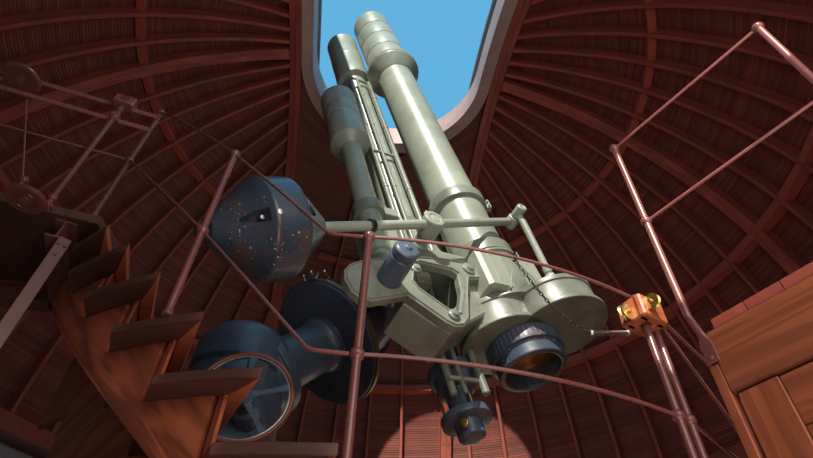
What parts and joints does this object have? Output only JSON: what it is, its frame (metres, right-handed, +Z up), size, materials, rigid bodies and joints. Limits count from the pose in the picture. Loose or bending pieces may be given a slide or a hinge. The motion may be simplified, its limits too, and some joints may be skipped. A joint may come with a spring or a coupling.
{
  "type": "observatory dome with double refracting telescope",
  "caption": "Round observatory whose ribbed timber dome turns on its wall, with an opened slit, a mounted double refractor, curved stair, stages and railings.",
  "frame": {"origin": "on the ground at the dome's axis, at the centre of the building's base", "axes": "+Z up along the dome's axis; the slit and the door face -Y; +X is to the right seen from the door"},
  "size_m": [8.96, 8.96, 8.2873],
  "materials": {
    "masonry": "matt lime render",
    "concrete": "matt, trowelled",
    "red_wood": "red-brown stain, satin",
    "dark_wood": "dark stain, worn edges",
    "trim_wood": "pale pink-brown paint",
    "zinc_sheet": "weathered grey sheet",
    "railing_paint": "semi-gloss red-brown",
    "green_paint": "semi-gloss grey-green enamel",
    "grey_paint": "semi-gloss blue-grey enamel",
    "black_iron": "chipped blue-black enamel"
  },
  "bodies": {
    "building": {"right_wall": "masonry", "left_wall": "masonry", "front_wall": "masonry", "door_frame": "dark_wood", "door_leaf": "red_wood", "room_floor": "concrete", "podium_wall": "masonry", "observing_floor": "red_wood", "wall_head_with_track": "concrete", "pier_with_polar_housing": "grey_paint", "stair_tread_1": "dark_wood", "stair_tread_2": "dark_wood", "stair_tread_3": "dark_wood", "stair_tread_4": "dark_wood", "stair_tread_5": "dark_wood", "stair_tread_6": "dark_wood", "stair_outer_stringer": "red_wood", "stair_inner_stringer": "red_wood", "upper_stage": "dark_wood", "stage_steel_frame": "railing_paint", "side_stage_floor": "red_wood", "side_stage_wall": "red_wood", "side_stage_far_wall": "red_wood", "floor_railing": "railing_paint", "stair_railing": "railing_paint", "upper_stage_railing": "railing_paint", "dome_turning_gear": "railing_paint", "side_stage_railing": "railing_paint"},
    "dome": {"dome_ring_with_wheels": "red_wood", "left_shell": "zinc_sheet", "right_shell": "zinc_sheet", "back_shell": "zinc_sheet", "front_shell_under_slit": "zinc_sheet", "slit_board": "trim_wood", "left_slit_beam": "red_wood", "right_slit_beam": "red_wood", "right_ribs": "red_wood", "left_ribs": "red_wood", "back_studs": "red_wood", "right_shutter": "zinc_sheet", "left_shutter": "zinc_sheet", "front_shutter_rail": "zinc_sheet", "back_shutter_rail": "zinc_sheet"},
    "polar_axis": {"hour_circle": "black_iron", "declination_head": "grey_paint"},
    "telescope": {"main_tube": "green_paint", "main_dew_cap": "green_paint", "second_tube": "green_paint", "guide_tube": "green_paint", "tube_cradle": "green_paint", "small_balance_weight": "grey_paint", "breech_flange": "green_paint", "plate_holder_ring": "black_iron", "second_tube_tail": "grey_paint", "relief_lever": "green_paint", "relief_link": "green_paint", "main_counterweight": "black_iron", "control_rods": "green_paint"},
    "handwheel": {"handwheel": "railing_paint"}
  },
  "joints": [
    {"name": "dome_turn", "type": "hinge", "parent": "building", "child": "dome", "pos_m": [0, 0, 0], "axis": [0, 0, 1], "continuous": true},
    {"name": "hour_axis", "type": "hinge", "parent": "building", "child": "polar_axis", "pos_m": [0, 0, 3.9], "axis": [0.6022, 0.3202, 0.7314], "range_deg": [-5, 40]},
    {"name": "declination_axis", "type": "hinge", "parent": "polar_axis", "child": "telescope", "pos_m": [0, 0, 3.9], "axis": [0.3073, -0.9384, 0.1578], "range_deg": [0, 60]},
    {"name": "handwheel_turn", "type": "hinge", "parent": "building", "child": "handwheel", "pos_m": [-0.665, -0.86, 2.68], "axis": [0, 1, 0], "continuous": true}
  ]
}
